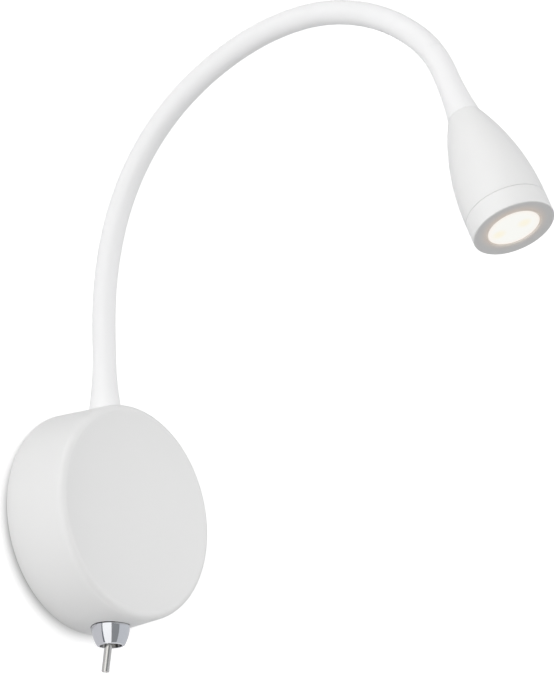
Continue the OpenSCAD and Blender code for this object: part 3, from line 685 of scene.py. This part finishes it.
def swept(name, points, girths, along, sides, finish, wall=None):
    """A tube of a given wall along a path, or a solid wire where no wall is given."""
    path = bpy.data.meshes.new(name)
    path.from_pydata(points, [(k, k + 1) for k in range(len(points) - 1)], [])
    for attribute, values in (("girth", girths), ("along", along)):
        path.attributes.new(attribute, "FLOAT", "POINT").data.foreach_set("value", values)
    made = add_object(name, path)
    sweep = made.modifiers.new("sweep", "NODES")
    sweep.node_group = SWEEP
    sweep[SWEEP_SOCKETS["Sides"]] = sides
    sweep[SWEEP_SOCKETS["Closed ends"]] = wall is None
    sweep[SWEEP_SOCKETS["Finish"]] = finish
    if wall is not None:
        thicken = made.modifiers.new("wall", "SOLIDIFY")
        thicken.thickness = wall
        thicken.offset = -1
    depsgraph = bpy.context.evaluated_depsgraph_get()
    mesh = bpy.data.meshes.new_from_object(
        made.evaluated_get(depsgraph), preserve_all_data_layers=True, depsgraph=depsgraph
    )
    made.modifiers.clear()
    made.data = mesh
    shade(mesh, SWEPT_SHARP_ANGLE)
    return made


def arc(middle, radius, start, end, steps):
    """Points on an arc in a profile, from one angle to another, in degrees."""
    angles = [math.radians(start + (end - start) * step / steps) for step in range(steps + 1)]
    return [(middle[0] + radius * math.cos(a), middle[1] + radius * math.sin(a)) for a in angles]


def lathed(name, profile, place, sides, finish):
    """A closed profile of radius and height turned about the upright through a place."""
    count = len(profile)
    points = []
    for turn in range(sides):
        angle = 2 * math.pi * turn / sides
        across = Vector((math.cos(angle), math.sin(angle), 0))
        points += [place + across * radius + Vector((0, 0, height)) for radius, height in profile]
    faces = []
    for turn in range(sides):
        here, there = turn * count, (turn + 1) % sides * count
        for k in range(count):
            after = (k + 1) % count
            faces.append((here + k, there + k, there + after, here + after))
    mesh = bpy.data.meshes.new(name)
    mesh.from_pydata(points, [], faces)
    mesh.materials.append(finish)
    shade(mesh, NUT_SHARP_ANGLE)
    return add_object(name, mesh)


def bulged(start, end, bulge, steps):
    """Points of a profile from a start to an end, which swells outwards in the middle."""
    start, end = Vector(start), Vector(end)
    swell = Vector((start.y - end.y, end.x - start.x)).normalized() * 4 * bulge
    shares = [step / steps for step in range(steps + 1)]
    return [tuple(start.lerp(end, t) + swell * t * (1 - t)) for t in shares]


def build_dress_nut():
    """The chrome nut, a bulged cone with a round lip at its mouth, and a washer above it, made
    black to draw the shade in the gap under the base.
    """
    low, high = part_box("switch_dress_nut")
    top_r = (high.x - low.x) / 2
    rim_r = top_r - NUT_EDGE
    middle = Vector(((low.x + high.x) / 2, (low.y + high.y) / 2, high.z))
    tilt = math.radians(NUT_LIP_ANGLES[0])
    lip_r = NUT_SHOULDER_R - NUT_LIP_R * math.cos(tilt)
    lip_z = -NUT_SHOULDER - NUT_LIP_R * math.sin(tilt)
    shoulder = (NUT_SHOULDER_R, -NUT_SHOULDER)
    profile = [
        (NUT_BORE_R, -NUT_WASHER),
        (rim_r, -NUT_WASHER),
        (top_r, -NUT_WASHER - NUT_EDGE),
        *bulged((top_r, -NUT_BAND), shoulder, NUT_BULGE, NUT_BULGE_STEPS),
        *arc((lip_r, lip_z), NUT_LIP_R, *NUT_LIP_ANGLES, NUT_LIP_STEPS)[1:],
        (NUT_MOUTH_R, lip_z - NUT_LIP_R),
        (NUT_THROAT_R, -NUT_THROAT),
        (NUT_BORE_R, -NUT_THREAD),
    ]
    nut = lathed("dress_nut", profile[::-1], middle, NUT_SIDES, FINISHES["nut_chrome"])
    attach(nut, "base")
    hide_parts("switch_dress_nut")
    # A washer made black so that it draws the shade in the gap between nut and base
    profile = [(NUT_BORE_R, -NUT_WASHER), (rim_r, -NUT_WASHER), (rim_r, 0), (NUT_BORE_R, 0)]
    washer = lathed("nut_shadow_washer", profile, middle, NUT_SIDES, FINISHES["switch_plastic"])
    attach(washer, "base")


def merge_doubles(mesh):
    """Joins loose triangles at their corners. Gives the normal that each corner had before."""
    normals = [value for corner in mesh.corner_normals for value in corner.vector]
    mesh.attributes.new("before", "FLOAT_VECTOR", "CORNER").data.foreach_set("vector", normals)
    merged = bmesh.new()
    merged.from_mesh(mesh)
    bmesh.ops.remove_doubles(merged, verts=merged.verts, dist=DOUBLES_REACH)
    merged.to_mesh(mesh)
    merged.free()
    corners = [Vector(corner.vector) for corner in mesh.attributes["before"].data]
    mesh.attributes.remove(mesh.attributes["before"])
    return corners


def build_base_shell():
    """The base's housing, its dish drawn deeper and flatter in the middle, with true normals."""
    low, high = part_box("housing")
    depth = high.y - low.y
    edge = Vector((BASE_FRONT_R - BASE_EDGE_R, depth - BASE_EDGE_R))
    floor = depth - DISH_DEPTH - BASE_EDGE_R
    dish_out = (edge.length_squared - floor * floor) / (2 * DISH_DEPTH)
    dish_r = dish_out - depth + DISH_DEPTH
    rim_r = edge.x * dish_r / (dish_r + BASE_EDGE_R)
    steepness = DISH_POWER * DISH_SINK / rim_r ** DISH_POWER
    middle = Vector((0, -dish_out, 0))
    mesh = NODES["housing"].data.copy()
    shell = add_object("base_shell", mesh)
    corners = merge_doubles(mesh)
    for loop in mesh.loops:
        inward = middle - mesh.vertices[loop.vertex_index].co
        out = Vector((-inward.x, 0, -inward.z))
        on_dish = abs(inward.length - dish_r) < DISH_REACH and out.length < rim_r + DISH_REACH
        if on_dish and inward.dot(corners[loop.index]) > 0:
            slope = 1 / -inward.y + steepness * out.length ** (DISH_POWER - 2)
            corners[loop.index] = Vector((-out.x * slope, -1, -out.z * slope)).normalized()
    for vertex in mesh.vertices:
        away = vertex.co - middle
        past_dish = away.length - dish_r
        if min(abs(past_dish), abs(past_dish - BASE_WALL)) < DISH_REACH:
            share = math.hypot(away.x, away.z) / rim_r
            vertex.co.y += DISH_SINK * max(0, 1 - share ** DISH_POWER)
    mesh.normals_split_custom_set(corners)
    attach(shell, "base")
    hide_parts("housing")


def cut_at(points, middles):
    """The stretches of a path between the middles of its links, as first and last index."""
    cuts = [0] + middles + [len(points) - 1]
    return list(zip(cuts, cuts[1:]))


def bend_with_arm(piece, k, start, end):
    """Bakes a stretch of the arm, from the middle of one link to the next, where it stands; its
    joint's body and its ends less the share at rest are worked out but not used, so it does not
    bend.
    """
    rest = (end - start) * BLEND_REST
    ARM_BODIES[k + 1]
    start + rest
    end - rest
    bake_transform(piece)


def half_width(node):
    """Half of a node's width along X."""
    low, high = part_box(node)
    return (high.x - low.x) / 2


def build_sleeve(points, middles):
    """The silicone sleeve, one soft stretch for each joint of the arm."""
    sleeve_r = half_width("sleeve_1")
    foot_rise = half_width("sleeve_foot") - sleeve_r
    neck_rise = half_width("sleeve_end") - sleeve_r
    along = lengths_along(points)
    girths = [
        sleeve_r
        + flare(s, FOOT_FLARE_LEN, foot_rise)
        + flare(along[-1] - s, NECK_FLARE_LEN, neck_rise)
        for s in along
    ]
    names = ["sleeve_foot"] + [f"sleeve_{k + 1}" for k in range(LINK_COUNT)] + ["sleeve_end"]
    for k, (first, last) in enumerate(cut_at(points, middles)):
        part = slice(first, last + 1)
        piece = swept(
            f"soft_sleeve_{k + 1}", points[part], girths[part], along[part],
            SLEEVE_SIDES, FINISHES["sleeve_silicone"], SLEEVE_WALL,
        )
        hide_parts(*names[k:k + 2])
        start = points[max(first, middles[0] - STEPS_PER_LINK)]
        end = points[min(last, middles[-1] + STEPS_PER_LINK)]
        bend_with_arm(piece, k, start, end)


def build_leads(points, middles):
    """The pair of leads from the driver through the arm to the LED board, cut at each link."""
    turn_middle = Vector((-LEAD_TURN_R, LEAD_START.y, LEAD_START.z + LEAD_TURN_R))
    turns = [math.pi / 2 * step / LEAD_TURN_STEPS for step in range(LEAD_TURN_STEPS + 1)]
    inside = [LEAD_START] + [
        turn_middle + Vector((math.sin(a), 0, -math.cos(a))) * LEAD_TURN_R for a in turns
    ]
    way_in = (points[-1] - points[-2]).normalized()
    route = inside + points + [points[-1] + way_in * LEAD_TO_BOARD]
    shifted = [middle + len(inside) for middle in middles]
    along = lengths_along(route)
    for k, (first, last) in enumerate(cut_at(route, shifted)):
        part = slice(first, last + 1)
        piece = swept(
            f"soft_lead_{k + 1}", route[part], [LEAD_R] * len(route[part]), along[part],
            LEAD_SIDES, FINISHES["wire_white"],
        )
        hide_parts("arm_leads")
        start = route[max(first, shifted[0] - STEPS_PER_LINK)]
        end = route[min(last, shifted[-1] + STEPS_PER_LINK)]
        bend_with_arm(piece, k, start, end)


def add_camera():
    """The camera that took the photograph, found from the round base."""
    azimuth = math.radians(VIEW_AZIMUTH)
    elevation = math.radians(VIEW_ELEVATION)
    roll = math.radians(VIEW_ROLL)
    level = Vector((math.cos(azimuth), math.sin(azimuth), 0))
    back = Vector((math.sin(azimuth), -math.cos(azimuth), 0)) * math.cos(elevation)
    back.z = math.sin(elevation)
    upright = back.cross(level)
    right = level * math.cos(roll) + upright * math.sin(roll)
    up = upright * math.cos(roll) - level * math.sin(roll)
    across = (PHOTO_SIZE[0] / 2 - CENTRE_PIXEL[0]) / PIXELS_PER_METRE
    above = (CENTRE_PIXEL[1] - PHOTO_SIZE[1] / 2) / PIXELS_PER_METRE
    camera = bpy.data.cameras.new("camera")
    camera.sensor_width = SENSOR
    camera.lens = SENSOR * PIXELS_PER_METRE * VIEW_DISTANCE / max(PHOTO_SIZE)
    made = bpy.data.objects.new("camera", camera)
    place = back * VIEW_DISTANCE + right * across + up * above
    turned = Matrix((right, up, back)).transposed().to_4x4()
    made.matrix_world = Matrix.Translation(place) @ turned
    SCENE.collection.objects.link(made)
    SCENE.camera = made


def seen_directly(tree):
    """1 for what the camera sees, by itself or in metal and glass, 0 for light on the object."""
    names = ("Is Camera Ray", "Is Glossy Ray", "Is Transmission Ray")
    rays = [tree.node("ShaderNodeLightPath", output=name) for name in names]
    return rays[0].at_least(rays[1]).at_least(rays[2])


def outward(azimuth, tilt):
    """Direction from the base, in degrees round it from -Y and degrees up."""
    a, t = math.radians(azimuth), math.radians(tilt)
    return Vector((math.sin(a) * math.cos(t), -math.cos(a) * math.cos(t), math.sin(t)))


def light_dome():
    """Soft lights all round, and a white background."""
    world = bpy.data.worlds.new("studio")
    world.use_nodes = True
    world.node_tree.nodes.clear()
    SCENE.world = world
    tree = Wire(world.node_tree)
    towards = tree.node("ShaderNodeTexCoord", output="Generated")
    level = 0.0
    for azimuth, tilt, strength in LIGHTS:
        facing = towards.along(outward(azimuth, tilt)).at_least(0.0)
        level = tree.math("POWER", facing, LIGHT_NARROWNESS) * strength + level
    dome = tree.node("ShaderNodeBackground", None, {"Color": (*WHITE, 1), "Strength": level})
    plain = tree.node("ShaderNodeBackground", None, {"Color": (*WHITE, 1), "Strength": 1.0})
    mixed = tree.node("ShaderNodeMixShader", None, {0: seen_directly(tree), 1: dome, 2: plain})
    tree.node("ShaderNodeOutputWorld", None, {"Surface": mixed})


def one_sided_white(name, glow_share):
    """White that shows its shadows softly to the camera, with a painted shadow where the base meets
    the wall, and is clear from behind.
    """
    material, tree, place = new_finish(name)
    # Painted shadow: darker close to a point a little low and left of the base's middle
    from_base = place.away_from(SHADOW_MIDDLE)
    bright = from_base.smooth(SHADOW_R - SHADOW_BLUR, SHADOW_R + SHADOW_BLUR)
    grey = bright.to_colour(BLACK, WALL_GREY)
    white = bright.to_colour(BLACK, WHITE)
    matt = tree.node("ShaderNodeBsdfDiffuse", None, {"Color": grey})
    glow = tree.node("ShaderNodeEmission", None, {"Color": white, "Strength": WALL_GLOW})
    share = seen_directly(tree) * glow_share
    front = tree.node("ShaderNodeMixShader", None, {0: share, 1: matt, 2: glow})
    behind = tree.node("ShaderNodeNewGeometry", output="Backfacing")
    clear = tree.node("ShaderNodeBsdfTransparent")
    whole = tree.node("ShaderNodeMixShader", None, {0: behind, 1: front, 2: clear})
    tree.node("ShaderNodeOutputMaterial", None, {"Surface": whole})
    return material


def ring(name, radii, depth, material, turn=(0, 360)):
    """A flat ring on the wall, or a part of one between two angles, facing out from it."""
    start, end = turn
    angles = [math.radians(start + (end - start) * k / RING_SIDES) for k in range(RING_SIDES + 1)]
    points = [(r * math.cos(a), depth, r * math.sin(a)) for r in radii for a in angles]
    row = RING_SIDES + 1
    faces = [(k, k + 1, row + k + 1, row + k) for k in range(RING_SIDES)]
    mesh = bpy.data.meshes.new(name)
    mesh.from_pydata(points, [], faces)
    if mesh.polygons[0].normal.y > 0:
        mesh.flip_normals()
    mesh.materials.append(material)
    made = add_object(name, mesh)
    return made


def add_wall():
    """The wall behind the light, open where the base covers it."""
    white = one_sided_white("wall_white", WALL_GLOW_SHARE)
    ring("wall", (WALL_HOLE_R, WALL_R), WALL_BEHIND, white)


def add_floor():
    """A pale floor well below the light, which only the camera sees."""
    corners = [
        (x * FLOOR_HALF, y * FLOOR_HALF, FLOOR_Z)
        for x, y in ((-1, -1), (1, -1), (1, 1), (-1, 1))
    ]
    mesh = bpy.data.meshes.new("floor")
    mesh.from_pydata(corners, [], [(0, 1, 2, 3)])
    mesh.materials.append(one_sided_white("floor_white", FLOOR_GLOW_SHARE))
    floor = add_object("floor", mesh)
    floor.visible_diffuse = False
    floor.visible_glossy = False
    floor.visible_shadow = False


def for_metal_only(screen):
    """Only reflections show a screen."""
    screen.visible_camera = False
    screen.visible_diffuse = False
    screen.visible_shadow = False
    screen.visible_transmission = False


def lit_screen(name, colour):
    """An even light for reflections."""
    material, tree, _ = new_finish(name)
    light = tree.node("ShaderNodeEmission", None, {"Color": (*colour, 1), "Strength": 1.0})
    tree.node("ShaderNodeOutputMaterial", None, {"Surface": light})
    return material


def add_screens():
    """Gores of a globe round the light, and cards on the wall, for the bands in its chrome."""
    shares = [step / SCREEN_STEPS for step in range(SCREEN_STEPS + 1)]
    low, high = SCREEN_TILTS
    row = SCREEN_STEPS + 1
    corners = [line * row + k for line in range(SCREEN_STEPS) for k in range(SCREEN_STEPS)]
    faces = [(c, c + 1, c + row + 1, c + row) for c in corners]
    for name, start, end, colour in SCREENS:
        points = [
            outward(start + (end - start) * across, low + (high - low) * up) * SCREEN_R
            for up in shares for across in shares
        ]
        mesh = bpy.data.meshes.new(name)
        mesh.from_pydata(points, [], faces)
        mesh.materials.append(lit_screen(name, colour))
        screen = add_object(name, mesh)
        for_metal_only(screen)
    for name, inner, outer, start, end, colour in CARDS:
        for_metal_only(ring(name, (inner, outer), 0.0, lit_screen(name, colour), (start, end)))


SCENE.view_settings.view_transform = "Standard"
add_camera()
light_dome()
add_wall()
add_floor()
add_screens()
paint_nodes()
build_base_shell()
build_dress_nut()
arm_points, link_middles = arm_path()
build_sleeve(arm_points, link_middles)
build_leads(arm_points, link_middles)
